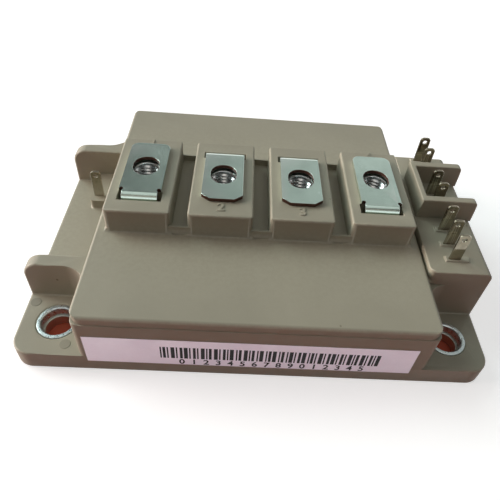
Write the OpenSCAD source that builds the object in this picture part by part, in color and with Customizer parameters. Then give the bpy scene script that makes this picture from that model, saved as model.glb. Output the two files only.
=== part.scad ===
// Power semiconductor module: a moulded case around a copper baseplate, with four
// screw terminals on towers across the lid and blade pins for the signals.
// Origin: centre of the mounting face. +Z is up, X runs along the length.

/* [Package] */
// Overall length, ear to ear
package_length = 110; // [106:0.5:126]
// Overall depth, front to back
package_depth = 80; // [78:0.5:96]
// Plan radius of the four ears
ear_corner = 4.5; // [2:0.5:6]
// Height of the ears above the mounting face
ear_top = 5.6; // [5:0.1:8]
// Thickness of the copper baseplate
plate_thickness = 3; // [2:0.1:4]
// How far the baseplate stands below the case
plate_proud = 0.3; // [0.1:0.1:0.8]
// Case wall around the baseplate
skirt_wall = 1.5; // [1:0.1:3]
// Gap between baseplate and skirt
plate_gap = 0.1; // [0.05:0.05:0.3]

/* [Mounting] */
// From an end of the package to the mounting holes there
hole_inset_x = 8.5; // [7.5:0.1:9.5]
// From the front or back of the package to the mounting holes there
hole_inset_y = 9; // [8:0.1:10]
// Clearance hole through the baseplate
plate_hole = 6.6; // [5.5:0.1:7]
// Bore of the metal bush in each ear
bush_bore = 7.4; // [7.1:0.1:8]
// Outside diameter of the bush
bush_outer = 9.5; // [9:0.1:11]
// How far the bush stands above the ear
bush_proud = 0.1; // [0.05:0.05:0.5]
// Chamfer at the mouth of the bush
bush_chamfer = 0.35; // [0.1:0.05:0.5]

/* [Case] */
// From an end of the package to the raised body
ear_width = 15.5; // [15:0.1:16.5]
// Plan radius of the body corners
body_corner = 1.5; // [0.5:0.1:3]
// Height of the joint between case and lid
seam_height = 17.65; // [17:0.05:20]
// Thickness of the body wall at the ends
end_wall = 3; // [2.5:0.1:4]
// Thickness of the body wall at front and back
side_wall = 3; // [2.5:0.1:4]
// Height of the barrier ribs beside the ears
rib_height = 16.6; // [14:0.1:17]
// Thickness of a barrier rib
rib_thickness = 3.5; // [2:0.1:5]
// From a front hole centre to the rib behind it
front_ear_room = 7.6; // [7:0.1:9]
// From a rear hole centre to the rib ahead of it
rear_ear_room = 6.4; // [6.4:0.1:9]
// Radius of the rib's outer top corner
rib_round = 4; // [2:0.5:6]
// Concave radius where a rib meets the body beside an ear
ear_fillet = 6; // [3:0.5:6]
// Concave radius on the other side of a rib
inner_fillet = 1.5; // [0.5:0.1:3]

/* [Pin block] */
// Height of the block that carries the signal pins
block_top = 20.9; // [20.5:0.1:23]
// From a rear hole centre to the back of the pin block
block_rear_room = 9; // [8:0.1:9.2]
// Slot between lid and pin block
block_gap = 0.45; // [0.3:0.05:1]
// Chamfer on the block's inner front corner
block_chamfer = 1.3; // [0.5:0.1:3]
// Rounding of the block's outer top edge
block_round = 1.7; // [0.5:0.1:3]
// Height of the insulating walls between the pins
barrier_top = 26.65; // [24:0.05:28]
// Thickness of the two walls that run along the length
barrier_thickness = 2; // [1.5:0.1:2.2]
// Thickness of the wall beside the lid
barrier_back = 1.45; // [1:0.05:1.8]
// From the middle pair of pins to the wall in front of it
barrier_front_room = 2.4; // [1:0.1:3]
// From the middle pair of pins to the wall behind it
barrier_rear_room = 4.92; // [4:0.02:5.2]
// From the slot beside the lid to the wall next to it
barrier_inset = 0.7; // [0.3:0.1:1]
// Rounding of the walls' outer top corners
barrier_round = 1.2; // [0.5:0.1:1.8]

/* [Lid] */
// Top face of the lid
lid_top = 19.9; // [19.5:0.1:21]
// Plan radius of the lid corners
lid_corner = 3; // [1:0.1:5]
// Rounding of the lid's top edge
lid_edge = 0.8; // [0.3:0.1:1.2]
// Depth of the locating lip inside the case
lip_depth = 1.5; // [1:0.1:2.5]
// Thickness of the locating lip
lip_thickness = 1.4; // [1:0.1:2.5]
// Gap between locating lip and case
lip_gap = 0.1; // [0.05:0.05:0.3]

/* [Terminal towers] */
// From the body's ends to the outer towers
tower_margin = 2.5; // [2:0.1:3]
// Gap between neighbouring towers
tower_gap = 4; // [3.4:0.1:5]
// Depth of a tower, front to back
tower_depth = 29.3; // [28.5:0.1:34]
// Top face of the towers
tower_top = 26.65; // [26.2:0.05:28]
// Plan radius of the tower corners
tower_corner = 1.2; // [0.5:0.1:2]
// Rounding of the towers' top edges
tower_edge = 0.6; // [0.2:0.1:1]
// Flare at the foot of each tower
tower_flare = 0.5; // [0.2:0.1:1]
// Height of the webs between towers
web_top = 22.4; // [21.5:0.1:24]
// How far a web stands back from the towers' ends
web_inset = 0.1; // [0.05:0.05:0.5]
// Lip left at each end of a web
web_lip = 0.6; // [0.4:0.1:1.5]
// Depth of the trough in a web
web_trough = 1.8; // [0.5:0.1:2]

/* [Main terminals] */
// Width of a terminal plate
terminal_width = 10; // [9:0.1:10.6]
// Thickness of the terminal sheet
terminal_thickness = 1; // [0.8:0.05:1.2]
// Width of the terminal where it enters its tower
neck_width = 8.4; // [6.2:0.1:8.6]
// Width of the terminal's leg below the lid, on the side toward the module's middle
leg_width = 4; // [3:0.1:5]
// Inside radius of the terminal bend
bend_radius = 0.9; // [0.5:0.05:1.2]
// Gap between a terminal plate and its tower
terminal_gap = 0.05; // [0.02:0.01:0.2]
// Width of the screw hole in a terminal plate
screw_slot_width = 6.5; // [6.1:0.1:7]
// Length of the screw hole, front to back
screw_slot_length = 7.5; // [7:0.1:8]
// Screw centre of the outer terminals, from the module's middle
outer_screw_y = 1.5; // [1:0.1:2]
// Screw centre of the inner terminals, from the module's middle
inner_screw_y = -0.1; // [-0.5:0.1:0.5]
// From an outer screw to the front face of its bend
outer_reach = 11.6; // [11:0.1:12]
// From an outer screw to the plate's rear edge
outer_tail = 9.7; // [9:0.1:11]
// From an inner screw to the rear face of its bend
inner_reach = 9.8; // [9.5:0.1:11]
// From an inner screw to the plate's front edge
inner_tail = 9.4; // [9:0.1:11]
// Corner cut of the inner plates, across the plate
inner_chamfer = 2; // [0.5:0.1:3]
// Corner cut of the inner plates, along the plate
inner_chamfer_depth = 1.5; // [0.5:0.1:3]
// From an inner leg's outer face to where its plate gets wide
inner_shoulder = 1.2; // [1:0.1:1.9]
// Corner radius of the outer plates
outer_corner = 2; // [0.5:0.1:3]
// Radius of the relief notch beside the outer bend
relief_radius = 0.5; // [0.3:0.05:0.7]
// Room around a terminal in its tower slot
slot_gap = 0.5; // [0.3:0.05:0.8]
// Gap between a terminal's leg and the narrow part of its slot
leg_gap = 0.1; // [0.05:0.05:0.2]
// Length of the slot ahead of an outer terminal's bend
slot_front = 1; // [0.8:0.1:1.5]
// Length of a terminal's foot on its substrate
foot_length = 2.5; // [2:0.1:3]

/* [Nuts] */
// Nut width across flats
nut_across = 9.8; // [9:0.1:9.8]
// Nut height
nut_height = 5; // [4:0.1:5.2]
// Tapping bore of the nut thread
nut_bore = 5.1; // [4.9:0.05:5.3]
// Countersink at both ends of the nut bore
nut_countersink = 0.5; // [0.2:0.05:0.8]
// How far the nut sits below the tower top
nut_recess = 0.35; // [0.1:0.05:0.6]
// Play of the nut in its pocket
nut_play = 0.05; // [0.05:0.05:0.1]
// Width of the screw relief below a nut
screw_relief = 7; // [6.5:0.1:8]
// Floor left below the screw relief
relief_floor = 1.2; // [0.8:0.1:1.6]

/* [Signal pins] */
// Width of a blade
pin_width = 2.8; // [2.4:0.1:3]
// Thickness of a blade
pin_thickness = 0.5; // [0.4:0.05:0.8]
// Top of the pins on the block
pin_top = 29.1; // [28:0.1:32]
// Top of the single pin at the other end
lone_pin_top = 17.4; // [15:0.1:18]
// Rounding of a blade's tip
pin_round = 0.9; // [0.4:0.1:1.1]
// Hole near the tip
pin_eye = 1.2; // [0.8:0.1:1.4]
// From the tip to the middle of the hole
pin_eye_depth = 1.4; // [1.2:0.1:2]
// From the end of the package to the row of pins
pin_row_inset = 8.5; // [8:0.1:8.8]
// From the other end of the package to the lone pin
lone_pin_inset = 9.2; // [8.5:0.1:10]
// From the rear rib to the lone pin
lone_pin_room = 10.3; // [7:0.1:10.7]
// Pitch of neighbouring pins
pin_pitch = 5.08; // [5:0.01:5.1]
// From the block's front face to the middle pin of the front group
front_group_inset = 9.45; // [9.2:0.05:9.6]
// Front pin of the middle pair
middle_pair_y = 0; // [-0.2:0.1:0.6]
// From the block's rear face to the first pin of the rear pair
rear_pair_inset = 7; // [6.6:0.1:7.2]
// Height of a foot's underside above the mounting face
foot_shelf = 6.4; // [6:0.1:8]
// Height of the lone pin's foot above the mounting face
lone_shelf = 6; // [5.5:0.1:6.5]
// Thickness of a pin's foot
pin_foot = 0.6; // [0.4:0.1:0.8]
// Width of a pin's foot
pin_foot_width = 2; // [1:0.1:2.6]
// From a shelf's edge to the tip of a pin's foot
foot_inset = 0.5; // [0.2:0.1:0.8]
// Width of the shelf that carries the feet
shelf_width = 2.8; // [2:0.1:3.2]
// Length of the raised frame around a blade's base
collar_length = 5.8; // [4:0.1:6]
// Depth of the raised frame
collar_depth = 1.7; // [1.2:0.1:2.2]
// Height of the raised frame
collar_height = 0.45; // [0.2:0.05:0.8]
// Height of the pedestal of the lone pin
pedestal_top = 8.65; // [8:0.05:10]
// From the lone pin to the pedestal's front
pedestal_front = 2.3; // [1.6:0.1:3]
// From the lone pin to the pedestal's outer side
pedestal_side = 1.9; // [1.6:0.1:3]
// Plan radius of the pedestal
pedestal_corner = 1; // [0.3:0.1:1.4]

/* [Label] */
// From the body's left end to the label
label_left_margin = 1.9; // [0.5:0.1:8]
// From the body's right end to the label
label_right_margin = 3.7; // [0.5:0.1:8]
// Height of the label
label_height = 9.5; // [6:0.1:11]
// Lower edge of the label
label_bottom = 4; // [3.4:0.1:6]
// Label thickness
label_thickness = 0.12; // [0.08:0.01:0.3]

/* [Substrates] */
// From the end walls to the ceramic substrates
tile_clear_x = 1.5; // [0.5:0.1:3]
// From the front and back walls to the ceramic substrates
tile_clear_y = 1; // [0.5:0.1:3]
// Gap between neighbouring substrates
tile_gap = 2; // [1:0.1:2.5]
// Ceramic thickness
ceramic_thickness = 0.6; // [0.4:0.05:1]
// Thickness of the copper on both sides
copper_thickness = 0.3; // [0.2:0.05:0.5]
// Bare ceramic border around the copper
copper_border = 1; // [0.5:0.1:2]
// Gap between copper tracks
track_gap = 1; // [0.6:0.1:2]
// Edge length of a switch chip
switch_chip = 9.5; // [8:0.1:9.8]
// Edge length of a diode chip
diode_chip = 6.8; // [5.5:0.1:7]
// Gap between neighbouring switch chips
chip_spacing = 1.5; // [0.8:0.1:3]
// Gap between a switch chip and its diode
chip_gap = 1.4; // [0.8:0.1:2]
// From a chip to the edge of its track
chip_margin = 0.5; // [0.2:0.1:0.6]
// Chip thickness, with its solder
chip_thickness = 0.4; // [0.2:0.05:0.6]
// Bond wire diameter
wire_diameter = 0.4; // [0.25:0.05:0.5]
// Distance between neighbouring bond wires
wire_pitch = 2; // [1:0.1:2.4]
// Bond wires per chip
wires_per_chip = 2; // [1:1:3]
// Rise of a wire's loop, as a share of its span
wire_rise = 0.25; // [0.15:0.05:0.3]
// From a track's edge to the wires that land on it
wire_inset = 1.2; // [0.9:0.1:1.5]
// Room in the gel above the wires' loops
wire_headroom = 0.4; // [0.2:0.1:1]
// Room in the gel above the pins' feet
pin_headroom = 2; // [1.8:0.1:2.4]
// From the pin shelf to where a pin's wire lands
wire_landing = 2.2; // [2:0.1:3]
// Length of the temperature sensor
sensor_length = 2; // [1:0.1:3]
// From the edge of its track to the temperature sensor
sensor_inset = 4; // [2:0.5:6]
// Width and height of the temperature sensor
sensor_width = 1.2; // [0.6:0.1:1.6]
// Top of the silicone gel
gel_top = 13; // [12:0.5:15]

/* [Hidden] */
$fn = 64;

case_colour = "#968f7c";
nickel = "#93a39d";
zinc = "#c3ccd0";

// Overlap used where two shapes of one moulding join
bite = 0.5;
// Fillets cross their walls at a small angle instead of just touching them
cross = 0.03;
// A cut runs this far past the face it opens
past = 1;

front = -package_depth / 2;
end = package_length / 2;
hole_x = end - hole_inset_x;
hole_y = -front - hole_inset_y;
body_width = package_length - 2 * ear_width;
body_half = body_width / 2;
cavity_x = body_half - end_wall;
cavity_y = package_depth / 2 - side_wall;
case_top = seam_height;
front_rib_y = front_ear_room - hole_y;
rear_rib_y = hole_y - rear_ear_room;
block_front_y = front_rib_y;
block_rear_y = hole_y - block_rear_room;
block_x = body_half + block_gap;
barrier_x = block_x + barrier_inset;
barrier_front_y = middle_pair_y - barrier_front_room - barrier_thickness;
barrier_rear_y = middle_pair_y + pin_pitch + barrier_rear_room + barrier_thickness;

pin_row_x = end - pin_row_inset;
lone_pin_x = end - lone_pin_inset;
lone_pin_y = rear_rib_y - rib_thickness - lone_pin_room;
front_group_y = block_front_y + front_group_inset;
rear_pair_y = block_rear_y - rear_pair_inset;

tower_width = (body_width - 2 * tower_margin - 3 * tower_gap) / 4;
function tower_x(i) = (i - 1.5) * (tower_width + tower_gap);
function is_outer(i) = i == 0 || i == 3;
function screw_y(i) = is_outer(i) ? outer_screw_y : inner_screw_y;

terminal_under = tower_top + terminal_gap;
nut_top = tower_top - nut_recess;
nut_bottom = nut_top - nut_height;
relief_bottom = seam_height + relief_floor;

tile_length = cavity_x - tile_gap / 2 - tile_clear_x;
tile_depth = cavity_y - tile_gap / 2 - tile_clear_y;
tile_x = (tile_length + tile_gap) / 2;
tile_y = (tile_depth + tile_gap) / 2;
ceramic_z = plate_thickness + copper_thickness;
track_z = ceramic_z + ceramic_thickness;
chip_z = track_z + copper_thickness;
wire_z = chip_z + chip_thickness;
shelf_under = ear_top - bite;
foot_tip = cavity_x - shelf_width + foot_inset;
stitch_length = 3 * wire_diameter;
leg_top = seam_height - lip_depth;
middle_landing = tile_gap / 2 + copper_border + wire_inset;
// Along each substrate, v runs from its middle toward the module's middle line
copper_edge = tile_depth / 2 - copper_border;
chip_track_end = switch_chip + chip_gap + diode_chip + 2 * chip_margin - copper_edge;
switch_v = chip_margin + switch_chip / 2 - copper_edge;
diode_v = chip_track_end - chip_margin - diode_chip / 2;
landing_v = chip_track_end + track_gap + wire_inset;
chip_x = (switch_chip + chip_spacing) / 2;
wire_room = wire_z + wire_diameter + wire_rise * (landing_v - switch_v) / 2 + wire_headroom;
pin_room = foot_shelf + pin_foot + pin_headroom;
sensor_x = -tile_x - chip_x;
sensor_y = tile_y - chip_track_end - track_gap - sensor_inset;

pins_y = [
    front_group_y - pin_pitch, front_group_y, front_group_y + pin_pitch,
    middle_pair_y, middle_pair_y + pin_pitch, rear_pair_y, rear_pair_y + pin_pitch
];

// ---- outlines ----

// Rectangle with four round corners, built from squares and circles
module round_rect(length, depth, radius) {
    square([length - 2 * radius, depth], center = true);
    square([length, depth - 2 * radius], center = true);
    for (x = [-1, 1], y = [-1, 1])
        translate([x * (length / 2 - radius), y * (depth / 2 - radius)]) circle(radius);
}

// Upright plate outline from x0 to x1 and up to a height, its top corners rounded
module arch(x0, x1, z0, z1, left, right) {
    difference() {
        translate([x0, z0]) square([x1 - x0, z1 - z0]);
        translate([x0, z1]) top_corner(left, 1);
        translate([x1, z1]) top_corner(right, -1);
    }
}

// What a rounded top corner takes off, for a corner at the origin
module top_corner(radius, toward) {
    if (radius > 0)
        difference() {
            translate([toward > 0 ? -past : -radius, -radius]) square([radius + past, radius + past]);
            translate([toward * radius, -radius]) circle(radius);
        }
}

// Material that a concave fillet adds in the corner at the origin
module fillet(radius, x_way, y_way) {
    flip_x = x_way > 0 ? 0 : 1;
    flip_y = y_way > 0 ? 0 : 1;
    centre = radius - cross;
    mirror([flip_x, 0]) mirror([0, flip_y])
        difference() {
            translate([-bite, -bite]) square(centre + bite);
            translate([centre, centre]) circle(radius);
        }
}

// A profile drawn in X and Z, run along Y from y0 to y1
module along_y(y0, y1) {
    translate([0, y1, 0]) rotate([90, 0, 0]) linear_extrude(y1 - y0) children();
}

// A profile drawn in Y and Z, run along X from x0 to x1
module along_x(x0, x1) {
    translate([x0, 0, 0]) rotate([90, 0, 90]) linear_extrude(x1 - x0) children();
}

module box(x0, x1, y0, y1, z0, z1) {
    translate([x0, y0, z0]) cube([x1 - x0, y1 - y0, z1 - z0]);
}

module at_holes() {
    for (x = [-1, 1], y = [-1, 1])
        translate([x * hole_x, y * hole_y, 0]) children();
}

// ---- base ----

module baseplate() {
    inset = 2 * (skirt_wall + plate_gap);
    color("#b9b4ab")
        difference() {
            linear_extrude(plate_thickness)
                round_rect(package_length - inset, package_depth - inset, ear_corner - skirt_wall);
            at_holes() translate([0, 0, -past]) cylinder(h = plate_thickness + 2 * past, d = plate_hole);
        }
}

module bush(x, y) {
    inner = bush_bore / 2;
    outer = bush_outer / 2;
    low = plate_thickness;
    high = ear_top + bush_proud;
    color(zinc)
        translate([x * hole_x, y * hole_y, 0])
            rotate_extrude()
                polygon([
                    [inner, low], [outer, low], [outer, high - bush_chamfer / 2],
                    [outer - bush_chamfer / 2, high], [inner + bush_chamfer, high],
                    [inner, high - bush_chamfer]
                ]);
}

// ---- case ----

module case_flange() {
    translate([0, 0, plate_proud])
        linear_extrude(ear_top - plate_proud) round_rect(package_length, package_depth, ear_corner);
}

module case_body() {
    translate([0, 0, plate_proud])
        linear_extrude(case_top - plate_proud) round_rect(body_width, package_depth, body_corner);
}

// The two ribs at the left, with the large fillets beside all four ears
module ribs() {
    intersection() {
        along_y(front, -front)
            arch(-end, end, ear_top - bite, rib_height, rib_round, rib_round);
        translate([0, 0, ear_top - bite])
            linear_extrude(rib_height) {
                for (y = [front_rib_y, rear_rib_y - rib_thickness])
                    translate([-end, y]) square([ear_width + bite, rib_thickness]);
                translate([-body_half, front_rib_y]) fillet(ear_fillet, -1, -1);
                translate([-body_half, rear_rib_y]) fillet(ear_fillet, -1, 1);
                translate([-body_half, front_rib_y + rib_thickness]) fillet(inner_fillet, -1, 1);
                translate([-body_half, rear_rib_y - rib_thickness]) fillet(inner_fillet, -1, -1);
                translate([body_half, block_front_y]) fillet(ear_fillet, 1, -1);
                translate([body_half, block_rear_y]) fillet(ear_fillet, 1, 1);
            }
    }
}

module pedestal() {
    left = -lone_pin_x - pin_width / 2 - pedestal_side / 2;
    near = lone_pin_y - pedestal_front;
    far = rear_rib_y - rib_thickness + bite;
    translate([0, 0, ear_top - bite])
        linear_extrude(pedestal_top - ear_top + bite) {
            translate([left, near + pedestal_corner])
                square([-body_half + bite - left, far - near - pedestal_corner]);
            translate([left + pedestal_corner, near])
                square([-body_half + bite - left - pedestal_corner, pedestal_corner + bite]);
            translate([left + pedestal_corner, near + pedestal_corner]) circle(pedestal_corner);
        }
}

// The block that carries seven of the pins; it joins the body below the lid
module pin_block() {
    intersection() {
        along_y(block_front_y, block_rear_y)
            arch(body_half - bite, end, ear_top - bite, block_top, 0, block_round);
        union() {
            box(body_half - bite, end, block_front_y, block_rear_y, 0, case_top);
            linear_extrude(block_top)
                difference() {
                    translate([block_x, block_front_y])
                        square([end - block_x, block_rear_y - block_front_y]);
                    translate([block_x, block_front_y]) rotate(45)
                        square(block_chamfer * sqrt(2), center = true);
                }
        }
    }
}

// Insulating walls between the groups of pins, open to the outside
module barriers() {
    intersection() {
        along_y(block_front_y, block_rear_y)
            arch(block_x, end, block_top - bite, barrier_top, 0, barrier_round);
        linear_extrude(barrier_top) {
            translate([barrier_x, barrier_front_y])
                square([barrier_back, barrier_rear_y - barrier_front_y]);
            translate([barrier_x, barrier_front_y]) square([end - barrier_x, barrier_thickness]);
            translate([barrier_x, barrier_rear_y - barrier_thickness])
                square([end - barrier_x, barrier_thickness]);
        }
    }
}

module collars() {
    collar_x = pin_row_x - pin_width / 2 - collar_depth / 2;
    for (y = pins_y)
        box(collar_x, collar_x + collar_length, y - collar_depth / 2, y + collar_depth / 2,
            block_top - bite, block_top + collar_height);
}

// Shelves inside the cavity that carry the feet of the pins
module pin_shelves() {
    box(cavity_x - shelf_width, cavity_x + bite, pins_y[0] - pin_pitch / 2, pins_y[6] + pin_pitch / 2,
        shelf_under, foot_shelf);
    box(-cavity_x - bite, -cavity_x + shelf_width, lone_pin_y - pin_pitch / 2, lone_pin_y + pin_pitch / 2,
        shelf_under, lone_shelf);
}

module case_frame() {
    color(case_colour)
        difference() {
            union() {
                difference() {
                    union() {
                        case_flange();
                        case_body();
                        ribs();
                        pedestal();
                        pin_block();
                        barriers();
                        collars();
                    }
                    box(-cavity_x, cavity_x, -cavity_y, cavity_y, 0, case_top + past);
                    translate([0, 0, -past])
                        linear_extrude(plate_thickness + past)
                            round_rect(package_length - 2 * skirt_wall, package_depth - 2 * skirt_wall,
                                       ear_corner - skirt_wall + plate_gap);
                    at_holes() cylinder(h = ear_top + past, d = bush_outer);
                }
                pin_shelves();
            }
            for (y = pins_y) row_pin_shape(y);
            lone_pin_shape();
        }
}

// ---- signal pins ----

// A blade and its foot, drawn with the blade at the origin and the foot toward -X
module pin_shape(top, shelf, reach) {
    along_y(-pin_thickness / 2, pin_thickness / 2)
        difference() {
            union() {
                translate([-pin_width / 2, shelf]) square([pin_width, top - pin_round - shelf]);
                translate([-pin_width / 2 + pin_round, top - pin_round - bite])
                    square([pin_width - 2 * pin_round, pin_round + bite]);
                for (x = [-1, 1])
                    translate([x * (pin_width / 2 - pin_round), top - pin_round]) circle(pin_round);
            }
            translate([0, top - pin_eye_depth]) circle(d = pin_eye);
        }
    box(-reach, pin_width / 2, -pin_foot_width / 2, pin_foot_width / 2, shelf, shelf + pin_foot);
}

module row_pin_shape(y) {
    translate([pin_row_x, y, 0])
        pin_shape(pin_top, foot_shelf, pin_row_x - foot_tip);
}

module lone_pin_shape() {
    translate([-lone_pin_x, lone_pin_y, 0]) mirror([1, 0, 0])
        pin_shape(lone_pin_top, lone_shelf, lone_pin_x - foot_tip);
}

module signal_pin(i) {
    color("#8e8a6c")
        if (i < 7) row_pin_shape(pins_y[i]);
        else lone_pin_shape();
}

// ---- lid ----

module lid_plate() {
    intersection() {
        translate([0, 0, seam_height])
            linear_extrude(lid_top - seam_height) round_rect(body_width, package_depth, lid_corner);
        along_y(front - past, past - front)
            arch(-body_half, body_half, seam_height - past, lid_top, lid_edge, lid_edge);
        along_x(-body_half - past, body_half + past)
            arch(front, -front, seam_height - past, lid_top, lid_edge, lid_edge);
    }
}

module locating_lip() {
    outer_x = cavity_x - lip_gap;
    outer_y = cavity_y - lip_gap;
    difference() {
        box(-outer_x, outer_x, -outer_y, outer_y, seam_height - lip_depth, seam_height + bite);
        box(-outer_x + lip_thickness, outer_x - lip_thickness, -outer_y + lip_thickness,
            outer_y - lip_thickness, seam_height - lip_depth - past, seam_height + past + bite);
    }
}

// Four-sided skirt where a tower rises from the lid
module tower_foot(half, deep) {
    low = lid_top - bite;
    intersection() {
        along_y(-deep - tower_flare, deep + tower_flare)
            polygon([[-half - tower_flare, low], [half + tower_flare, low], [half + tower_flare, lid_top],
                     [half - bite, lid_top + tower_flare + bite], [bite - half, lid_top + tower_flare + bite],
                     [-half - tower_flare, lid_top]]);
        along_x(-half - tower_flare, half + tower_flare)
            polygon([[-deep - tower_flare, low], [deep + tower_flare, low], [deep + tower_flare, lid_top],
                     [deep - bite, lid_top + tower_flare + bite], [bite - deep, lid_top + tower_flare + bite],
                     [-deep - tower_flare, lid_top]]);
    }
}

module tower(i) {
    half = tower_width / 2;
    deep = tower_depth / 2;
    translate([tower_x(i), 0, 0]) {
        tower_foot(half, deep);
        intersection() {
            translate([0, 0, lid_top - bite])
                linear_extrude(tower_top - lid_top + bite) round_rect(tower_width, tower_depth, tower_corner);
            along_y(-deep - past, deep + past)
                arch(-half, half, 0, tower_top, tower_edge, tower_edge);
            along_x(-half - past, half + past)
                arch(-deep, deep, 0, tower_top, tower_edge, tower_edge);
        }
    }
}

module webs() {
    deep = tower_depth / 2 - web_inset;
    for (i = [0:2]) {
        x0 = tower_x(i) + tower_width / 2 - tower_corner - bite;
        x1 = tower_x(i + 1) - tower_width / 2 + tower_corner + bite;
        difference() {
            box(x0, x1, -deep, deep, lid_top - bite, web_top);
            box(x0 - past, x1 + past, -deep + web_lip, deep - web_lip, web_top - web_trough, web_top + past);
        }
    }
}

// Hexagon with two corners on the Y axis
module hex(across) {
    rotate(30) circle(d = across / cos(30), $fn = 6);
}

// What a nut and its screw need inside a tower
module nut_pocket(i) {
    translate([tower_x(i), screw_y(i), 0]) {
        translate([0, 0, nut_bottom])
            linear_extrude(nut_height + nut_recess + past) hex(nut_across + 2 * nut_play);
        translate([0, 0, relief_bottom]) cylinder(h = nut_bottom - relief_bottom + bite, d = screw_relief);
    }
}

module slot(half, y0, y1, z0, z1) {
    box(-half, half, min(y0, y1), max(y0, y1), z0, z1);
}

// Opening for a terminal: wide at the top for the bend, narrow around the leg below
module terminal_slot(i) {
    way = is_outer(i) ? -1 : 1;
    face = leg_face(i);
    wide = terminal_width / 2 + (is_outer(i) ? slot_gap / 2 : slot_gap);
    mouth = terminal_thickness + bend_radius + (is_outer(i) ? slot_front : 0);
    depth = terminal_thickness + 2 * bend_radius;
    leg = neck_width / 2 + leg_gap;
    inner = face - way * (terminal_thickness + leg_gap);
    outer = face + way * leg_gap;
    translate([tower_x(i), 0, 0]) {
        slot(wide, face + way * slot_gap, face - way * mouth, tower_top - depth, tower_top + past);
        slot(leg, inner, outer, leg_top - past, tower_top);
    }
}

module lid() {
    color(case_colour)
        difference() {
            union() {
                lid_plate();
                locating_lip();
                for (i = [0:3]) tower(i);
                webs();
            }
            for (i = [0:3]) {
                nut_pocket(i);
                terminal_slot(i);
            }
        }
}

// ---- main terminals and nuts ----

// Outer face of a terminal's leg, front to back
function leg_face(i) = is_outer(i) ? outer_screw_y - outer_reach : inner_screw_y + inner_reach;

// Middle of the narrow part of a leg, flush with one side of the neck
function leg_x(i) = tower_x(i) + (i < 2 ? 1 : -1) * (neck_width - leg_width) / 2;

// Side view of an inner terminal: plate, bend, leg and foot, with the leg's face at the origin
module terminal_profile(tail) {
    under = terminal_under;
    thick = terminal_thickness;
    bend = bend_radius + thick;
    low = chip_z;
    translate([-tail, under]) square([tail - bend + cross, thick]);
    intersection() {
        translate([-bend, under - bend_radius]) difference() {
            circle(bend);
            circle(bend_radius);
        }
        translate([-bend, under - bend_radius]) square(bend + past);
    }
    translate([-thick, low]) square([thick, under - bend_radius - low + cross]);
    translate([-thick, low]) square([foot_length + thick, thick]);
}

// Plan of a terminal with the leg's face at the origin and the plate toward -Y
module terminal_plan(i, tail) {
    wide = terminal_width / 2;
    neck = neck_width / 2;
    shoulder = -terminal_thickness - bend_radius - relief_radius;
    if (is_outer(i))
        difference() {
            union() {
                translate([-wide + outer_corner, -tail])
                    square([terminal_width - 2 * outer_corner, outer_corner + bite]);
                translate([-wide, -tail + outer_corner])
                    square([terminal_width, shoulder + tail - outer_corner]);
                for (x = [-1, 1])
                    translate([x * (wide - outer_corner), -tail + outer_corner]) circle(outer_corner);
                translate([-neck, shoulder - bite]) square([neck_width, foot_length - shoulder + bite]);
            }
            for (x = [-1, 1]) translate([x * (neck + relief_radius / 2), shoulder]) circle(relief_radius);
        }
    else
        polygon([
            [-wide + inner_chamfer, -tail], [wide - inner_chamfer, -tail],
            [wide, -tail + inner_chamfer_depth], [wide, -inner_shoulder], [neck, -inner_shoulder],
            [neck, foot_length], [-neck, foot_length], [-neck, -inner_shoulder], [-wide, -inner_shoulder],
            [-wide, -tail + inner_chamfer_depth]
        ]);
}

module terminal(i) {
    way = is_outer(i) ? 1 : 0;
    reach = is_outer(i) ? outer_reach : inner_reach;
    tail = reach + (is_outer(i) ? outer_tail : inner_tail);
    straight = (screw_slot_length - screw_slot_width) / 2;
    color(nickel)
        translate([tower_x(i), leg_face(i), 0]) mirror([0, way, 0])
            difference() {
                intersection() {
                    along_x(-terminal_width / 2 - past, terminal_width / 2 + past) terminal_profile(tail);
                    linear_extrude(tower_top + 3 * past) terminal_plan(i, tail);
                }
                translate([leg_x(i) - tower_x(i), 0, leg_top / 2])
                    for (x = [-1, 1])
                        translate([x * (leg_width + terminal_width) / 2, 0, 0])
                            cube([terminal_width, 2 * (reach + tail), leg_top], center = true);
                translate([0, -reach, tower_top - past])
                    linear_extrude(3 * past) {
                        for (y = [-1, 1]) translate([0, y * straight]) circle(d = screw_slot_width);
                        square([screw_slot_width, 2 * straight], center = true);
                    }
            }
}

module nut(i) {
    mouth = nut_bore / 2 + nut_countersink;
    color(zinc)
        translate([tower_x(i), screw_y(i), nut_bottom])
            difference() {
                linear_extrude(nut_height) hex(nut_across);
                rotate_extrude()
                    polygon([
                        [0, -past], [mouth, -past], [mouth, 0], [nut_bore / 2, nut_countersink],
                        [nut_bore / 2, nut_height - nut_countersink], [mouth, nut_height],
                        [mouth, nut_height + past], [0, nut_height + past]
                    ]);
            }
}

// ---- label ----

module label() {
    color("#d9cfdc")
        box(label_left_margin - body_half, body_half - label_right_margin, front - label_thickness, front,
            label_bottom, label_bottom + label_height);
}

// ---- inside the case ----

module at_tiles() {
    for (x = [-1, 1], y = [-1, 1]) translate([x * tile_x, y * tile_y, 0]) children();
}

module base_copper() {
    color("#b87333")
        at_tiles() translate([0, 0, plate_thickness])
            linear_extrude(copper_thickness)
                square([tile_length - 2 * copper_border, tile_depth - 2 * copper_border], center = true);
}

module ceramic(x, y) {
    color("#e9e6dc")
        translate([x * tile_x, y * tile_y, ceramic_z])
            linear_extrude(ceramic_thickness) square([tile_length, tile_depth], center = true);
}

// Each substrate has a wide track for the chips and one for a terminal's foot
module at_tracks(v) {
    for (x = [-1, 1], y = [-1, 1]) translate([x * tile_x, y * (tile_y - v), 0]) children();
}

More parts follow.
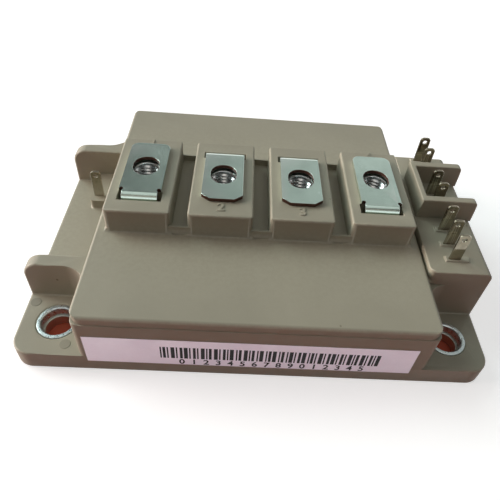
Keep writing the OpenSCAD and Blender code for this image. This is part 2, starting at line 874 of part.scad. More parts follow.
module copper_tracks() {
    long = tile_length - 2 * copper_border;
    start = chip_track_end + track_gap;
    color("#b87333")
        translate([0, 0, track_z]) linear_extrude(copper_thickness) {
            at_tracks((chip_track_end - copper_edge) / 2)
                square([long, chip_track_end + copper_edge], center = true);
            at_tracks((start + copper_edge) / 2)
                square([long, copper_edge - start], center = true);
        }
}

module chips(size, v) {
    translate([0, 0, chip_z]) linear_extrude(chip_thickness)
        at_tracks(v) for (x = [-1, 1]) translate([x * chip_x, 0]) square(size, center = true);
}

module switch_chips() {
    color("#5f6a72") chips(switch_chip, switch_v);
}

module diode_chips() {
    color("#6e7a80") chips(diode_chip, diode_v);
}

module temperature_sensor() {
    color("#2f2f31")
        translate([sensor_x, sensor_y, chip_z]) {
            translate([-sensor_length / 2, -sensor_width / 2, 0])
                cube([sensor_length, sensor_width, sensor_width]);
        }
}

// An arched wire between two points, with a flat stitch at each end
module wire(start, end) {
    step = end - start;
    flat = norm([step.x, step.y]);
    chord = norm(step);
    rise = chord * wire_rise;
    radius = (chord * chord / 4 + rise * rise) / (2 * rise);
    half = asin(chord / 2 / radius);
    translate((start + end) / 2 + [0, 0, wire_diameter / 2])
        rotate([0, 0, atan2(step.y, step.x)]) rotate([0, -atan2(step.z, flat), 0])
            translate([0, 0, rise - radius]) rotate([90, 0, 0]) rotate([0, 0, 90 - half])
                rotate_extrude(angle = 2 * half) translate([radius, 0]) circle(d = wire_diameter, $fn = 16);
    for (p = [start, end])
        translate([p.x, p.y, p.z + wire_diameter / 3]) rotate([0, 0, atan2(step.y, step.x)])
            cube([stitch_length, 1.2 * wire_diameter, wire_diameter * 2 / 3], center = true);
}

// A pin's wire runs straight in, but lands clear of the gap between the substrates
function landing_y(y) = abs(y) < middle_landing ? middle_landing : y;

module bond_wires() {
    color("#d0d2d4") {
        for (x = [-1, 1], y = [-1, 1], chip = [-1, 1], k = [0:wires_per_chip - 1]) {
            wx = x * tile_x + chip * chip_x + (k - (wires_per_chip - 1) / 2) * wire_pitch;
            wire([wx, y * (tile_y - switch_v - wire_pitch / 2), wire_z],
                 [wx, y * (tile_y - diode_v + wire_pitch), wire_z]);
            wire([wx, y * (tile_y - diode_v - wire_pitch / 2), wire_z],
                 [wx, y * (tile_y - landing_v), chip_z]);
        }
        for (y = pins_y)
            wire([foot_tip + stitch_length / 2, y, foot_shelf + pin_foot],
                 [cavity_x - shelf_width - wire_landing, landing_y(y), chip_z]);
        wire([-foot_tip - stitch_length / 2, lone_pin_y, lone_shelf + pin_foot],
             [shelf_width + wire_landing - cavity_x, lone_pin_y, chip_z]);
    }
}

module silicone_gel() {
    color("#cfd6d8", 0.5)
        difference() {
            box(-cavity_x, cavity_x, -cavity_y, cavity_y, plate_thickness, gel_top);
            at_tiles() translate([0, 0, wire_room / 2])
                cube([tile_length, tile_depth, wire_room], center = true);
            box(cavity_x - shelf_width - 2 * wire_landing, cavity_x + past, pins_y[0] - pin_pitch / 2,
                pins_y[6] + pin_pitch / 2, shelf_under, pin_room);
            box(-cavity_x - past, shelf_width + 2 * wire_landing - cavity_x, lone_pin_y - pin_pitch / 2,
                lone_pin_y + pin_pitch / 2, shelf_under, pin_room);
            for (i = [0:3]) gel_slot(i);
        }
}

// Hole in the gel that a terminal's leg fills
module gel_slot(i) {
    back = leg_face(i) + (is_outer(i) ? 1 : -1) * terminal_thickness;
    box(leg_x(i) - leg_width / 2, leg_x(i) + leg_width / 2, min(back, leg_face(i)),
        max(back, leg_face(i)), plate_thickness, gel_top + past);
}

baseplate();
case_frame();
lid();
label();
bush(-1, -1);  // bush_front_left
bush(1, -1);  // bush_front_right
bush(-1, 1);  // bush_rear_left
bush(1, 1);  // bush_rear_right
terminal(0);  // terminal_1
terminal(1);  // terminal_2
terminal(2);  // terminal_3
terminal(3);  // terminal_4
nut(0);  // nut_1
nut(1);  // nut_2
nut(2);  // nut_3
nut(3);  // nut_4
signal_pin(0);  // signal_pin_1
signal_pin(1);  // signal_pin_2
signal_pin(2);  // signal_pin_3
signal_pin(3);  // signal_pin_4
signal_pin(4);  // signal_pin_5
signal_pin(5);  // signal_pin_6
signal_pin(6);  // signal_pin_7
signal_pin(7);  // signal_pin_8
ceramic(-1, -1);  // ceramic_front_left
ceramic(1, -1);  // ceramic_front_right
ceramic(-1, 1);  // ceramic_rear_left
ceramic(1, 1);  // ceramic_rear_right
base_copper();
copper_tracks();
switch_chips();
diode_chips();
temperature_sensor();
bond_wires();
silicone_gel();
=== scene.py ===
"""Looks of an IGBT power module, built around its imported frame."""

import math

import bmesh
import bpy
from bpy.props import FloatProperty, FloatVectorProperty, PointerProperty
from bpy.types import Operator, Panel, PropertyGroup
from mathutils import Euler, Matrix, Vector
from mathutils.geometry import intersect_point_line
from mathutils.kdtree import KDTree


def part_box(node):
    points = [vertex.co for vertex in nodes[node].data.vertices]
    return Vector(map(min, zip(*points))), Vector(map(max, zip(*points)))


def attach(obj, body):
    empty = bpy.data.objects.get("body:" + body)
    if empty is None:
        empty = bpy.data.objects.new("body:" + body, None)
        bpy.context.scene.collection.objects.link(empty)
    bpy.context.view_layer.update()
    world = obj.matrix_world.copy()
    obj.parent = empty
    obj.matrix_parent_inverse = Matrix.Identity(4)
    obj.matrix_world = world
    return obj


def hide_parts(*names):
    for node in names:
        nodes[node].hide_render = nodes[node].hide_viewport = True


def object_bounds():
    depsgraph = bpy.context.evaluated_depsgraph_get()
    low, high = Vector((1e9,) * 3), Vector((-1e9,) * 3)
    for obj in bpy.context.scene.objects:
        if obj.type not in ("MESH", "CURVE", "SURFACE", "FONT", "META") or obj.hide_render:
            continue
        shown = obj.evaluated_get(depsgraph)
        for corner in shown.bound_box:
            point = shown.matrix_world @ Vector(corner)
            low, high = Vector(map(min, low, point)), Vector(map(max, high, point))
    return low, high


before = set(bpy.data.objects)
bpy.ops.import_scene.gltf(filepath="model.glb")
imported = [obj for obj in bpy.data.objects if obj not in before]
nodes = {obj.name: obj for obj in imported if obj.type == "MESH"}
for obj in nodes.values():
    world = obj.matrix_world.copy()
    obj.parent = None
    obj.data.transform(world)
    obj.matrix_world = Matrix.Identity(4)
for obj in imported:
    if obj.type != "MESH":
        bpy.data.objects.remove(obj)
cad_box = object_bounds()

bl_info = {
    "name": "IGBT Power Module",
    "version": (1, 0, 0),
    "blender": (4, 5, 0),
    "location": "3D View > Sidebar > IGBT Module",
    "description": "Builds the finished surfaces, pieces and studio of an IGBT power module",
    "category": "Object",
}

MM = 0.001
BUSHES = ("bush_front_left", "bush_front_right", "bush_rear_left", "bush_rear_right")
TERMINALS = ("terminal_1", "terminal_2", "terminal_3", "terminal_4")
NUTS = ("nut_1", "nut_2", "nut_3", "nut_4")
PINS = tuple(f"signal_pin_{number}" for number in range(1, 9))
CERAMICS = (
    "ceramic_front_left",
    "ceramic_front_right",
    "ceramic_rear_left",
    "ceramic_rear_right",
)


def colour(red, green, blue):
    """A display colour, given from 0 to 255, as linear light."""
    linear = []
    for part in (red, green, blue):
        part /= 255
        linear.append(part / 12.92 if part <= 0.04045 else ((part + 0.055) / 1.055) ** 2.4)
    return tuple(linear)


def middle(node):
    """The centre of a node's box."""
    low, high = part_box(node)
    return (low + high) / 2


# ---------------------------------------------------------------- sizes and colours


class ModuleMoulding(PropertyGroup):
    """The moulded case and lid."""

    base: FloatVectorProperty(
        name="Moulding Colour",
        description="Colour of the moulded case and lid",
        subtype="COLOR",
        size=3,
        min=0,
        max=1,
        default=colour(151, 147, 129),
    )
    edge_round: FloatProperty(
        name="Edge Radius",
        description="Rounding of the moulded edges",
        unit="LENGTH",
        default=0.6 * MM,
        min=0,
        precision=5,
    )
    roughness: FloatProperty(
        name="Roughness",
        description="Roughness of the spark eroded mould surface",
        subtype="FACTOR",
        default=0.58,
        min=0,
        max=1,
    )
    grain: FloatProperty(
        name="Grain Height",
        description="Height of the mould grain",
        unit="LENGTH",
        default=0.012 * MM,
        min=0,
        precision=6,
    )
    mark_radius: FloatProperty(
        name="Ejector Mark Radius",
        description="Radius of the round marks that ejector pins leave",
        unit="LENGTH",
        default=1.3 * MM,
        min=0,
        precision=5,
    )
    digit_height: FloatProperty(
        name="Digit Height",
        description="Height of the moulded terminal numbers",
        unit="LENGTH",
        default=2.7 * MM,
        min=0,
        precision=5,
    )


class ModuleMetal(PropertyGroup):
    """The metal pieces."""

    nickel: FloatVectorProperty(
        name="Nickel Colour",
        description="Colour of the plated terminal sheet",
        subtype="COLOR",
        size=3,
        min=0,
        max=1,
        default=colour(218, 238, 227),
    )
    cut_edge: FloatVectorProperty(
        name="Cut Edge Colour",
        description="Colour of the bare copper at the punched edges",
        subtype="COLOR",
        size=3,
        min=0,
        max=1,
        default=colour(92, 62, 48),
    )
    sheet_round: FloatProperty(
        name="Sheet Edge Radius",
        description="Rounding of the punched sheet edges",
        unit="LENGTH",
        default=0.08 * MM,
        min=0,
        precision=5,
    )
    thread_pitch: FloatProperty(
        name="Thread Pitch",
        description="Pitch of the nut thread",
        unit="LENGTH",
        default=1.0 * MM,
        min=0,
        precision=5,
    )
    thread_depth: FloatProperty(
        name="Thread Depth",
        description="Depth of the nut thread",
        unit="LENGTH",
        default=0.45 * MM,
        min=0,
        precision=5,
    )


class ModuleStudio(PropertyGroup):
    """The camera and lamps."""

    camera_place: FloatVectorProperty(
        name="Camera Place",
        description="Where the camera stands",
        subtype="TRANSLATION",
        unit="LENGTH",
        size=3,
        default=(-6.203 * MM, -98.598 * MM, 104.870 * MM),
    )
    camera_turn: FloatVectorProperty(
        name="Camera Turn",
        description="Rotation of the camera",
        subtype="EULER",
        size=3,
        default=tuple(math.radians(a) for a in (44.6614, -4.2502, 0.1068)),
    )
    lens: FloatProperty(
        name="Lens",
        description="Focal length in millimetres on a 36 mm sensor",
        default=35.555,
        min=1,
    )
    lamp_level: FloatProperty(
        name="Lamp Level",
        description="Strength of all lamps together",
        default=1.0,
        min=0,
    )


# ---------------------------------------------------------------- shader writing

# Sockets of the Mix node that carry colours. They share their names with others.
MIX_FACTOR, MIX_FIRST, MIX_SECOND = 0, 6, 7
MIX_RESULT = 2


class Wire:
    """One shader value. Operators on it add Math nodes."""

    def __init__(self, finish, socket):
        self.finish = finish
        self.socket = socket

    def maths(self, operation, *values):
        return self.finish.node(
            "ShaderNodeMath", {"operation": operation}, dict(enumerate(values))
        )

    def __add__(self, other):
        return self.maths("ADD", self, other)

    __radd__ = __add__

    def __sub__(self, other):
        return self.maths("SUBTRACT", self, other)

    def __rsub__(self, other):
        return self.maths("SUBTRACT", other, self)

    def __mul__(self, other):
        return self.maths("MULTIPLY", self, other)

    __rmul__ = __mul__

    def __gt__(self, other):
        return self.maths("GREATER_THAN", self, other)

    def __abs__(self):
        return self.maths("ABSOLUTE", self)


class Finish:
    """A material or world under construction."""

    def __init__(self, name, tree=None):
        if tree is None:
            self.material = bpy.data.materials.new(f"finish_{name}")
            self.material.use_nodes = True
            tree = self.material.node_tree
        self.tree = tree
        self.tree.nodes.clear()

    def node(self, kind, settings=None, sockets=None, output=0):
        """Adds a node: its settings first, then the values or links of its sockets."""
        made = self.tree.nodes.new(kind)
        for setting, value in (settings or {}).items():
            setattr(made, setting, value)
        for socket, value in (sockets or {}).items():
            port = made.inputs[socket]
            if isinstance(value, Wire):
                self.tree.links.new(value.socket, port)
            elif port.type == "RGBA" and len(value) == 3:
                port.default_value = (*value, 1)
            else:
                port.default_value = value
        return Wire(self, made.outputs[output]) if made.outputs else None

    def place(self, scale=(1, 1, 1), offset=(0, 0, 0), turn=(0, 0, 0)):
        """Object coordinates in millimetres, stretched and turned."""
        here = self.node("ShaderNodeTexCoord", output="Object")
        return self.node(
            "ShaderNodeMapping",
            {"vector_type": "POINT"},
            {
                "Vector": here,
                "Location": offset,
                "Rotation": turn,
                "Scale": tuple(part / MM for part in scale),
            },
        )

    def noise(self, place, scale, detail=2.0, roughness=0.5, distortion=0.0):
        """Noise from 0 to 1, scale in cells per millimetre."""
        return self.node(
            "ShaderNodeTexNoise",
            {"noise_dimensions": "3D"},
            {
                "Vector": place,
                "Scale": scale,
                "Detail": detail,
                "Roughness": roughness,
                "Distortion": distortion,
            },
        )

    def span(self, value, low, high, start=0.0, end=1.0):
        """Maps a value's range low to high onto start to end, and holds it there."""
        return self.node(
            "ShaderNodeMapRange",
            {"clamp": True},
            {"Value": value, "From Min": low, "From Max": high, "To Min": start, "To Max": end},
        )

    def blend(self, factor, first, second):
        """Mixes two colours."""
        return self.node(
            "ShaderNodeMix",
            {"data_type": "RGBA"},
            {MIX_FACTOR: factor, MIX_FIRST: first, MIX_SECOND: second},
            output=MIX_RESULT,
        )

    def attribute(self, name):
        """A value that the piece's own mesh carries."""
        return self.node("ShaderNodeAttribute", {"attribute_name": name}, output="Fac")

    def bump(self, height, strength, distance):
        """A bumped normal from a height from 0 to 1."""
        return self.node(
            "ShaderNodeBump", {}, {"Height": height, "Strength": strength, "Distance": distance}
        )

    def surface(self, **sockets):
        """Ends the tree in a Principled surface and returns the material."""
        shader = self.node(
            "ShaderNodeBsdfPrincipled",
            {},
            {socket.replace("_", " "): value for socket, value in sockets.items()},
        )
        self.node("ShaderNodeOutputMaterial", {}, {"Surface": shader})
        return self.material


def plastic(name, tone):
    """Filled thermoplastic with mould grain, flow clouds, a few specks, and rounded edges
    lightened by rubbing and by a painted highlight.
    """
    moulding = bpy.context.scene.module_moulding
    base = tuple(part * tone for part in moulding.base)
    made = Finish(name)
    place = made.place()
    clouds = made.noise(place, 0.045, 3.0, 0.55, 0.6)
    haze = made.noise(made.place(scale=(1, 0.35, 1), offset=(7, 3, 1)), 0.35, 4.0, 0.6)
    grain = made.noise(place, 5.5, 2.0, 0.5)
    shade = made.span(clouds * 0.85 + haze * 0.15, 0.32, 0.68)
    dark = tuple(part * 0.94 for part in base)
    light = (base[0] * 1.05, base[1] * 1.045, base[2] * 1.05)
    tint = made.blend(shade, dark, light)
    pits = tuple(part * 0.7 for part in base)
    tint = made.blend(made.span(grain, 0.3, 0.7, 0.0, 0.10), tint, pits)
    distance, shuffled = (
        made.node(
            "ShaderNodeTexVoronoi",
            {"feature": "F1", "voronoi_dimensions": "3D"},
            {"Vector": place, "Scale": 0.11, "Randomness": 1.0},
            output=output,
        )
        for output in ("Distance", "Color")
    )
    chance = made.node("ShaderNodeSeparateColor", {}, {"Color": shuffled}, output="Red")
    speck = made.span(distance, 0.030, 0.045, 1.0, 0.0) * (chance > 0.62)
    tint = made.blend(speck * 0.75, tint, colour(88, 76, 62))
    # The rounded edges are lightened in patches: partly rubbed wear, partly a painted highlight
    # where the curves catch the light.
    edge = made.attribute("edge")
    rub_and_highlight_patches = made.span(made.noise(place, 0.9, 3.0, 0.6), 0.38, 0.62)
    wear_and_highlight = edge * (0.35 + rub_and_highlight_patches * 0.5)
    tint = made.blend(wear_and_highlight * 0.55, tint, tuple(min(1, part * 1.30) for part in base))
    scuff = made.noise(made.place(scale=(0.25, 3.2, 1), turn=(0, 0, 0.5)), 0.8, 2.0, 0.5)
    scratch = made.span(scuff, 0.70, 0.76)
    rough = made.span(haze, 0.3, 0.7, moulding.roughness - 0.05, moulding.roughness + 0.07)
    return made.surface(
        Base_Color=tint,
        Roughness=rough - edge * 0.10 - scratch * 0.08,
        Specular_IOR_Level=0.5,
        Normal=made.bump(grain * 0.8 + haze * 0.3, 0.35, moulding.grain),
    )


def moulded_plastic():
    """The plain moulding."""
    return plastic("moulded_plastic", 1.0)


def pressed_plastic():
    """The darker skin where ejector pins pressed."""
    return plastic("pressed_plastic", 0.80)


def nickel_sheet():
    """Satin nickel on rolled copper, with fine rolling lines, light scratches and a painted
    highlight on its rounded edges.
    """
    base = tuple(bpy.context.scene.module_metal.nickel)
    made = Finish("nickel_sheet")
    rolled = made.noise(made.place(scale=(1.0, 0.05, 1.0)), 7.0, 3.0, 0.6)
    clouds = made.noise(made.place(), 0.16, 3.0, 0.5, 0.4)
    crossed = made.noise(made.place(scale=(0.08, 2.4, 1.0), turn=(0, 0, 0.35)), 1.6, 2.0, 0.5)
    scratch = made.span(crossed, 0.66, 0.72)
    shade = made.span(clouds, 0.3, 0.7)
    tint = made.blend(shade, tuple(part * 0.90 for part in base), base)
    tint = made.blend(scratch * 0.35, tint, tuple(min(1, part * 1.15) for part in base))
    # Painted highlight: the rounded sheet edges are painted lighter, as if they caught the light.
    edge = made.attribute("edge")
    tint = made.blend(edge * 0.5, tint, (0.86, 0.88, 0.84))
    return made.surface(
        Base_Color=tint,
        Metallic=1.0,
        Roughness=made.span(rolled, 0.3, 0.7, 0.17, 0.24) + shade * 0.04,
        Normal=made.bump(rolled * 0.7 + scratch * 0.3, 0.12, 0.003 * MM),
    )


def cut_copper():
    """Oxidised copper at a punched edge, with shear lines."""
    base = tuple(bpy.context.scene.module_metal.cut_edge)
    made = Finish("cut_copper")
    shear = made.noise(made.place(scale=(4.0, 4.0, 0.4)), 2.2, 3.0, 0.6)
    clouds = made.noise(made.place(), 0.8, 2.0, 0.5)
    tint = made.blend(
        made.span(shear * 0.6 + clouds * 0.4, 0.35, 0.65),
        tuple(part * 0.5 for part in base),
        base,
    )
    return made.surface(
        Base_Color=tint,
        Metallic=0.6,
        Roughness=made.span(shear, 0.3, 0.7, 0.35, 0.55),
        Normal=made.bump(shear, 0.5, 0.02 * MM),
    )


def nut_steel():
    """Bright zinc coated steel with faint turning marks."""
    made = Finish("nut_steel")
    turned = made.noise(made.place(scale=(1, 1, 5)), 2.0, 3.0, 0.55)
    spots = made.noise(made.place(), 1.1, 3.0, 0.6)
    tint = made.blend(made.span(spots, 0.35, 0.65), (0.72, 0.76, 0.75), (0.93, 0.96, 0.95))
    return made.surface(
        Base_Color=tint,
        Metallic=1.0,
        Roughness=made.span(turned, 0.3, 0.7, 0.16, 0.28),
        Normal=made.bump(turned, 0.25, 0.01 * MM),
    )


def zinc_bush():
    """Turned bush with a bright bluish coat."""
    made = Finish("zinc_bush")
    place = made.place()
    spots = made.noise(place, 1.4, 3.0, 0.6)
    tint = made.blend(made.span(spots, 0.35, 0.65), (0.58, 0.66, 0.66), (0.78, 0.84, 0.84))
    return made.surface(
        Base_Color=tint,
        Metallic=1.0,
        Roughness=made.span(spots, 0.3, 0.7, 0.24, 0.36),
        Normal=made.bump(made.noise(place, 6.0, 2.0), 0.2, 0.008 * MM),
    )


def pin_metal():
    """Tinned brass blade with a dull, slightly warm surface and a painted highlight on its
    rounded edges.
    """
    made = Finish("pin_metal")
    drawn = made.noise(made.place(scale=(3.0, 3.0, 0.2)), 2.4, 3.0, 0.6)
    spots = made.noise(made.place(), 0.7, 3.0, 0.6)
    tint = made.blend(made.span(spots, 0.35, 0.65), (0.22, 0.195, 0.14), (0.32, 0.285, 0.21))
    # Painted highlight: the rounded edges of the blade are painted much lighter, as if they
    # caught the light.
    edge = made.attribute("edge")
    tint = made.blend(edge * 0.6, tint, (0.80, 0.77, 0.68))
    return made.surface(
        Base_Color=tint,
        Metallic=1.0,
        Roughness=made.span(drawn, 0.3, 0.7, 0.07, 0.13),
        Normal=made.bump(drawn, 0.15, 0.004 * MM),
    )


def plated_copper():
    """Nickel plated baseplate with rolling lines and faint stains."""
    made = Finish("plated_copper")
    rolled = made.noise(made.place(scale=(0.04, 1.0, 1.0)), 3.0, 3.0, 0.6)
    stains = made.noise(made.place(), 0.06, 4.0, 0.6, 1.0)
    tint = made.blend(made.span(stains, 0.35, 0.65), (0.52, 0.50, 0.45), (0.66, 0.66, 0.62))
    return made.surface(
        Base_Color=tint,
        Metallic=1.0,
        Roughness=made.span(rolled, 0.3, 0.7, 0.30, 0.44),
        Normal=made.bump(rolled, 0.3, 0.01 * MM),
    )


def label_stock():
    """Satin label film with a faint fibre and a soft sheen."""
    made = Finish("label_stock")
    fibre = made.noise(made.place(scale=(1.0, 1.0, 2.5)), 1.6, 4.0, 0.65)
    clouds = made.noise(made.place(), 0.12, 3.0, 0.5)
    tint = made.blend(made.span(clouds, 0.3, 0.7), (0.83, 0.74, 0.86), (0.90, 0.82, 0.93))
    tint = made.blend(made.span(fibre, 0.3, 0.7, 0.0, 0.08), tint, (0.5, 0.48, 0.5))
    edge = made.attribute("edge")
    tint = made.blend(edge * 0.5, tint, (0.60, 0.55, 0.56))
    return made.surface(
        Base_Color=tint,
        Metallic=0.4,
        Roughness=made.span(fibre, 0.3, 0.7, 0.30, 0.38),
        Normal=made.bump(fibre, 0.12, 0.01 * MM),
    )


def label_ink():
    """Thermal print ink, slightly uneven."""
    made = Finish("label_ink")
    grain = made.noise(made.place(), 4.0, 3.0, 0.6)
    tint = made.blend(made.span(grain, 0.35, 0.65), (0.010, 0.009, 0.010), (0.022, 0.020, 0.022))
    return made.surface(
        Base_Color=tint,
        Roughness=made.span(grain, 0.3, 0.7, 0.5, 0.65),
        Specular_IOR_Level=0.2,
        Normal=made.bump(grain, 0.1, 0.005 * MM),
    )


def bare_copper():
    """Bonded copper with a dull grain and heat tints."""
    made = Finish("bare_copper")
    place = made.place()
    grain = made.noise(place, 2.6, 4.0, 0.6)
    stains = made.noise(place, 0.15, 3.0, 0.6, 0.8)
    tint = made.blend(made.span(stains, 0.35, 0.65), (0.72, 0.34, 0.20), (0.86, 0.47, 0.30))
    return made.surface(
        Base_Color=tint,
        Metallic=1.0,
        Roughness=made.span(grain, 0.3, 0.7, 0.32, 0.46),
        Normal=made.bump(grain, 0.3, 0.01 * MM),
    )


def white_ceramic():
    """Sintered alumina."""
    made = Finish("white_ceramic")
    grain = made.noise(made.place(), 3.0, 4.0, 0.6)
    tint = made.blend(made.span(grain, 0.35, 0.65), (0.78, 0.77, 0.73), (0.86, 0.85, 0.82))
    return made.surface(
        Base_Color=tint,
        Roughness=made.span(grain, 0.3, 0.7, 0.42, 0.52),
        Normal=made.bump(grain, 0.2, 0.01 * MM),
    )


def chip_silicon():
    """Polished silicon under an aluminium cell pattern."""
    made = Finish("chip_silicon")
    cells = made.node(
        "ShaderNodeTexWave",
        {"wave_type": "BANDS", "bands_direction": "X"},
        {"Vector": made.place(), "Scale": 1.2, "Distortion": 0.0},
    )
    spots = made.noise(made.place(), 0.8, 2.0, 0.5)
    tint = made.blend(made.span(cells, 0.4, 0.6), (0.20, 0.21, 0.24), (0.52, 0.53, 0.55))
    return made.surface(
        Base_Color=tint,
        Metallic=0.8,
        Roughness=made.span(spots, 0.3, 0.7, 0.16, 0.26),
        Normal=made.bump(cells, 0.2, 0.004 * MM),
    )


def sensor_body():
    """Glazed black sensor body."""
    made = Finish("sensor_body")
    grain = made.noise(made.place(), 3.0, 3.0, 0.5)
    tint = made.blend(made.span(grain, 0.35, 0.65), (0.020, 0.020, 0.022), (0.035, 0.035, 0.038))
    return made.surface(
        Base_Color=tint,
        Roughness=made.span(grain, 0.3, 0.7, 0.28, 0.4),
        Normal=made.bump(grain, 0.2, 0.01 * MM),
    )


def wire_aluminium():
    """Drawn aluminium wire."""
    made = Finish("wire_aluminium")
    grain = made.noise(made.place(scale=(1, 0.2, 1)), 4.0, 3.0, 0.5)
    tint = made.blend(made.span(grain, 0.35, 0.65), (0.80, 0.80, 0.81), (0.90, 0.90, 0.91))
    return made.surface(
        Base_Color=tint,
        Metallic=1.0,
        Roughness=made.span(grain, 0.3, 0.7, 0.22, 0.34),
        Normal=made.bump(grain, 0.2, 0.008 * MM),
    )


def silicone_gel():
    """Clear soft gel, slightly milky."""
    made = Finish("silicone_gel")
    clouds = made.noise(made.place(), 0.2, 3.0, 0.5)
    tint = made.blend(clouds, (0.80, 0.82, 0.80), (0.88, 0.90, 0.88))
    return made.surface(
        Base_Color=tint,
        Roughness=made.span(clouds, 0.3, 0.7, 0.10, 0.18),
        Alpha=0.35,
        Normal=made.bump(clouds, 0.3, 0.05 * MM),
    )


# ---------------------------------------------------------------- mesh work

MERGE_GAP = 0.002 * MM
FLAT_TURN = math.radians(0.5)
SHARP_TURN = math.radians(50)
FOLD_TURN = math.radians(115)
ROUND_SIDES = 48
# Two edges whose directions agree more than this run on into each other.
IN_LINE = 0.8
# A rounding takes at most this share of the edges that it runs into.
NEIGHBOUR_SHARE = 0.45
# What each repair leaves of the roundings near a fold. None accepts what is there.
REPAIRS = (0.6, 0.6, 0.5, 0.0, 0.0, None)
# A fold is near an edge within this many roundings of it.
REPAIR_REACH = 1.5
# The faces of a rounded corner turn by about 90 degrees in all. Edges count as its curve
# where they turn by more than the first over the segments, and by less than the second.
LEAST_TURN, MOST_TURN = 67, 60
# Size of a text over the height of its digits.
TEXT_OVER_DIGIT = 1.4


def surface_of(node):
    """A merged copy of a CAD node's surface, with its flat faces whole again."""
    mesh = bmesh.new()
    mesh.from_mesh(nodes[node].data)
    bmesh.ops.remove_doubles(mesh, verts=mesh.verts, dist=MERGE_GAP)
    bmesh.ops.dissolve_limit(
        mesh, angle_limit=FLAT_TURN, verts=mesh.verts, edges=mesh.edges
    )
    return mesh


def mesh_of(thing):
    """The finished mesh of a helper object, which is removed."""
    bpy.context.view_layer.update()
    made = bpy.data.meshes.new_from_object(
        thing.evaluated_get(bpy.context.evaluated_depsgraph_get())
    )
    bpy.data.objects.remove(thing)
    return made


def bevelled(source, reach, segments):
    """A copy of a mesh with its weighted edges rounded."""
    data = bpy.data.meshes.new("rounding")
    source.to_mesh(data)
    holder = bpy.data.objects.new("rounding", data)
    bpy.context.scene.collection.objects.link(holder)
    bevel = holder.modifiers.new("rounding", "BEVEL")
    bevel.limit_method = "WEIGHT"
    bevel.offset_type = "OFFSET"
    bevel.width = reach
    bevel.segments = segments
    bevel.profile = 0.5
    bevel.use_clamp_overlap = False
    made = mesh_of(holder)
    bpy.data.meshes.remove(data)
    mesh = bmesh.new()
    mesh.verts.layers.float.new("edge")
    mesh.from_mesh(made)
    bpy.data.meshes.remove(made)
    return mesh


def folds_of(mesh):
    """Where neighbouring faces fold back over each other, once cut into triangles."""
    cut = mesh.copy()
    bmesh.ops.triangulate(cut, faces=[face for face in cut.faces if len(face.verts) > 4])
    found = [
        (edge.verts[0].co + edge.verts[1].co) / 2
        for edge in cut.edges
        if len(edge.link_faces) == 2 and edge.calc_face_angle(0) > FOLD_TURN
    ]
    cut.free()
    return found


def rounded(mesh, reach, radius=None, segments=3):
    """Rounds sharp edges by the radius each one is given, up to reach, and marks the curves.

    Where a rounding folds over itself, the edges near it get a smaller one, and in the end none.
    """
    weight = mesh.edges.layers.float.new("bevel_weight_edge")
    for edge in mesh.edges:
        if len(edge.link_faces) != 2 or edge.calc_face_angle() < SHARP_TURN:
            continue
        wanted = radius(edge) if radius else reach
        for vert in edge.verts:
            own = (edge.other_vert(vert).co - vert.co).normalized()
            for other in vert.link_edges:
                if other is not edge:
                    away = (other.other_vert(vert).co - vert.co).normalized()
                    if abs(away.dot(own)) < IN_LINE:
                        wanted = min(wanted, NEIGHBOUR_SHARE * other.calc_length())
        edge[weight] = wanted / reach
    already = len(folds_of(mesh))
    for share in REPAIRS:
        made = bevelled(mesh, reach, segments)
        folds = folds_of(made)
        if share is None or len(folds) <= already:
            break
        made.free()
        tree = KDTree(len(folds))
        for index, place in enumerate(folds):
            tree.insert(place, index)
        tree.balance()
        limit = reach * REPAIR_REACH
        for edge in mesh.edges:
            if edge[weight] > 0:
                start, end = (vert.co for vert in edge.verts)
                near = tree.find_range((start + end) / 2, edge.calc_length() / 2 + limit)
                for place, _, _ in near:
                    part = intersect_point_line(place, start, end)[1]
                    closest = start.lerp(end, max(0, min(1, part)))
                    if (closest - place).length < limit:
                        edge[weight] *= share
                        break
    mesh.free()
    mark = made.verts.layers.float.get("edge")
    for edge in made.edges:
        if len(edge.link_faces) == 2:
            turn = math.degrees(edge.calc_face_angle(0))
            if LEAST_TURN / segments < turn < MOST_TURN:
                for vert in edge.verts:
                    vert[mark] = 1.0
    return made


def object_of(name, mesh, materials):
    """Puts a finished mesh into the scene as an object."""
    data = bpy.data.meshes.new(name)
    mesh.to_mesh(data)
    mesh.free()
    for material in materials:
        data.materials.append(material)
    thing = bpy.data.objects.new(name, data)
    bpy.context.scene.collection.objects.link(thing)
    return thing


def piece(name, mesh, materials, replaced=(), sharp=SHARP_TURN):
    """Makes a finished mesh a piece that rides on the module, with edges sharp above an angle."""
    for face in mesh.faces:
        face.smooth = True
    for edge in mesh.edges:
        if len(edge.link_faces) == 2 and edge.calc_face_angle() > sharp:
            edge.smooth = False
    thing = object_of(name, mesh, materials)
    even = thing.modifiers.new("even_shading", "WEIGHTED_NORMAL")
    even.keep_sharp = True
    even.weight = 50
    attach(thing, "root")
    if replaced:
        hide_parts(*replaced)


def coat(names, material):
    """Gives CAD nodes a finished material."""
    for name in names:
        for place in nodes[name].material_slots:
            place.material = material


def shared(maker):
    """The material that a maker makes, made once."""
    return bpy.data.materials.get(f"finish_{maker.__name__}") or maker()


def disc(mesh, centre, radius, height):
    """A thin raised disc with a rounded rim."""
    made = bmesh.ops.create_cone(
        mesh,
        cap_ends=True,
        cap_tris=False,
        segments=ROUND_SIDES,
        radius1=radius,
        radius2=radius - height * 0.6,
        depth=height,
        matrix=Matrix.Translation(centre),
    )
    rim = {edge for vert in made["verts"] for edge in vert.link_edges}
    top = [e for e in rim if all(v.co.z > centre.z for v in e.verts)]
    bmesh.ops.bevel(
        mesh,
        geom=top,
        offset=height * 0.4,
        offset_type="OFFSET",
        affect="EDGES",
        segments=2,
        profile=0.5,
        material=-1,
    )


